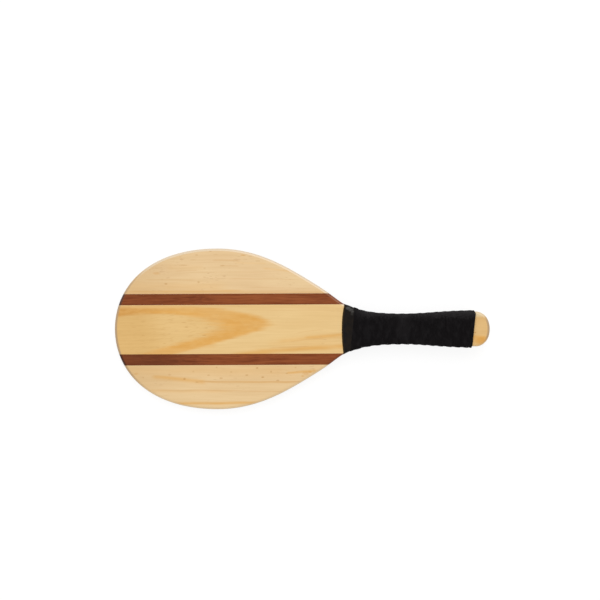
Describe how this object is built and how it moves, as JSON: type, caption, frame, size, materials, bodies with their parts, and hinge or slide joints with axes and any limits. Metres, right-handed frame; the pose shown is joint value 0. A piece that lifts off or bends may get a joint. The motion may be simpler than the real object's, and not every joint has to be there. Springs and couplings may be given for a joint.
{
  "type": "beach racket",
  "caption": "Wooden beach racket with an egg-shaped flat blade of pine boards and mahogany stripes, and a handle wound with black tape.",
  "frame": {"origin": "centre of the racket's box, on the blade's middle plane", "axes": "+X along the racket from the head's tip to the butt, +Y across the blade, +Z out of the blade's front face"},
  "size_m": [0.42, 0.1802, 0.0248],
  "materials": {
    "pine": "satin lacquer over pale pine",
    "mahogany": "satin lacquer over red-brown hardwood",
    "suede": "matt black napped tape",
    "vinyl": "satin black tape"
  },
  "bodies": {
    "root": {"centre_stave": "pine", "upper_stripe": "mahogany", "lower_stripe": "mahogany", "upper_wing": "pine", "lower_wing": "pine", "front_scale": "pine", "back_scale": "pine", "grip_tape": "suede", "collar_tape": "vinyl"}
  },
  "joints": []
}
